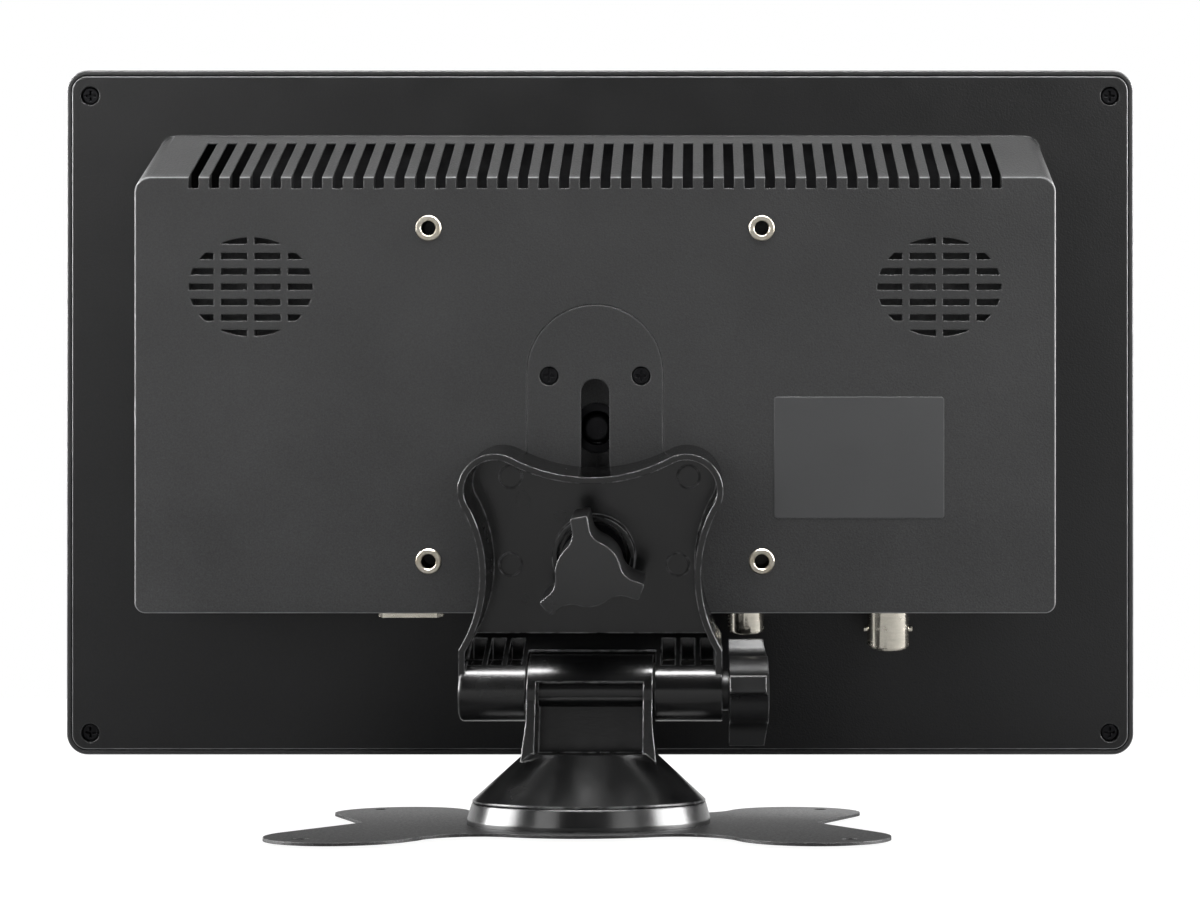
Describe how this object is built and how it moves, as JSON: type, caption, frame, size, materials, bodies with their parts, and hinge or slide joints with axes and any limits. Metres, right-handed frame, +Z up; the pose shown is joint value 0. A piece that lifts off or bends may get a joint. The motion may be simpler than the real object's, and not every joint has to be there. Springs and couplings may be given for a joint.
{
  "type": "video monitor on a tilting table stand",
  "caption": "Small flat video monitor with a ventilated back, speaker grilles and sockets, on a clamp bracket that slides, tilts and swivels on a petal-shaped base plate.",
  "frame": {"origin": "on the table, on the axis the stand swivels about, which is also the middle of the object's footprint", "axes": "+Z up; +X to the right of someone looking at the monitor's back; the screen faces +Y and leans back 16.8 degrees at rest"},
  "size_m": [0.2522, 0.0894, 0.1719],
  "materials": {
    "case_plastic": "fine spark-eroded grain, moulded ABS",
    "bezel_plastic": "fine grain, moulded ABS",
    "stand_plastic": "satin moulded nylon with faint flow marks",
    "knob_plastic": "satin moulded nylon",
    "black_screw": "black oxide",
    "zinc_steel": "zinc plated",
    "insert_metal": "nickel plated brass, turned",
    "brass": "turned",
    "label_vinyl": "blank vinyl",
    "panel_frame_metal": "pressed sheet, black",
    "light_guide_acrylic": "polished acrylic",
    "screen_glass": "dark anti-glare",
    "chassis_steel": "zinc plated sheet",
    "board": "green solder mask",
    "chip_plastic": "moulded epoxy",
    "flat_cable": "flat film cable, amber",
    "wire_sleeve": "vinyl insulation",
    "switch_plastic": "tact switch",
    "button_plastic": "smooth black",
    "led_plastic": "clear light pipe",
    "ir_plastic": "dark red filter",
    "chrome_shell": "nickel plated",
    "socket_plastic": "black insulator",
    "rca_plastic": "black insulator",
    "white_insulator": "white acetal",
    "gold_contact": "gold flash",
    "speaker_steel": "grey coated",
    "speaker_paper": "pulp cone",
    "powder_coat": "speckled black powder coat",
    "foam_rubber": "closed-cell foam",
    "slip_plastic": "acetal",
    "fibre": "hard fibre, black"
  },
  "bodies": {
    "base": {"base_plate": "powder_coat", "base_pads": "foam_rubber", "base_ring": "stand_plastic", "swivel_washer": "slip_plastic"},
    "post": {"stand_post": "stand_plastic", "pivot_screw": "zinc_steel"},
    "bracket": {"bracket": "stand_plastic", "clamp_bolt": "zinc_steel", "clamp_washer": "black_screw", "knob_spacer": "knob_plastic", "hinge_bolt": "zinc_steel", "friction_washers": "fibre"},
    "tilt_knob": {"tilt_knob": "knob_plastic", "tilt_knob_insert": "brass"},
    "clamp_knob": {"clamp_knob": "knob_plastic", "clamp_knob_insert": "brass"},
    "plus_button": {"plus_button": "button_plastic"},
    "minus_button": {"minus_button": "button_plastic"},
    "menu_button": {"menu_button": "button_plastic"},
    "source_button": {"source_button": "button_plastic"},
    "power_button": {"power_button": "button_plastic"},
    "monitor": {"rear_cover": "case_plastic", "front_bezel": "bezel_plastic", "slot_plate": "case_plastic", "slot_plate_screws": "black_screw", "track_screw": "black_screw", "case_screws": "black_screw", "vesa_inserts": "insert_metal", "rating_label": "label_vinyl", "lcd_frame": "panel_frame_metal", "light_guide": "light_guide_acrylic", "lcd_glass": "screen_glass", "chassis_plate": "chassis_steel", "board_standoffs": "brass", "board_screws": "zinc_steel", "main_board": "board", "board_chips": "chip_plastic", "panel_cable": "flat_cable", "key_board": "board", "key_switches": "switch_plastic", "key_cable": "flat_cable", "power_led": "led_plastic", "ir_window": "ir_plastic", "speaker_wires": "wire_sleeve", "hdmi_shell": "chrome_shell", "hdmi_tongue": "socket_plastic", "rca_shell": "chrome_shell", "rca_core": "rca_plastic", "bnc_body": "chrome_shell", "bnc_insulator": "white_insulator", "bnc_contact": "gold_contact", "dc_jack": "socket_plastic", "dc_pin": "chrome_shell", "speaker_frame_left": "speaker_steel", "speaker_frame_right": "speaker_steel", "speaker_cone_left": "speaker_paper", "speaker_cone_right": "speaker_paper"}
  },
  "joints": [
    {"name": "swivel", "type": "hinge", "parent": "base", "child": "post", "pos_m": [0, 0, 0.0055], "axis": [0, 0, 1], "continuous": true},
    {"name": "tilt", "type": "hinge", "parent": "post", "child": "bracket", "pos_m": [0, 0, 0.0283], "axis": [1, 0, 0], "range_deg": [-12, 45]},
    {"name": "tilt_knob_turn", "type": "hinge", "parent": "bracket", "child": "tilt_knob", "pos_m": [0.034, 0, 0.0283], "axis": [1, 0, 0], "continuous": true},
    {"name": "clamp_knob_turn", "type": "hinge", "parent": "bracket", "child": "clamp_knob", "pos_m": [0, -0.00801, 0.05482], "axis": [0, -0.9573, -0.289], "continuous": true},
    {"name": "height_slide", "type": "slide", "parent": "bracket", "child": "monitor", "axis": [0, -0.289, 0.9573], "range_m": [-0.003, 0.007]},
    {"name": "plus_press", "type": "slide", "parent": "monitor", "child": "plus_button", "axis": [0, -0.9573, -0.289], "range_m": [0, 0.0005]},
    {"name": "minus_press", "type": "slide", "parent": "monitor", "child": "minus_button", "axis": [0, -0.9573, -0.289], "range_m": [0, 0.0005]},
    {"name": "menu_press", "type": "slide", "parent": "monitor", "child": "menu_button", "axis": [0, -0.9573, -0.289], "range_m": [0, 0.0005]},
    {"name": "source_press", "type": "slide", "parent": "monitor", "child": "source_button", "axis": [0, -0.9573, -0.289], "range_m": [0, 0.0005]},
    {"name": "power_press", "type": "slide", "parent": "monitor", "child": "power_button", "axis": [0, -0.9573, -0.289], "range_m": [0, 0.0005]}
  ]
}
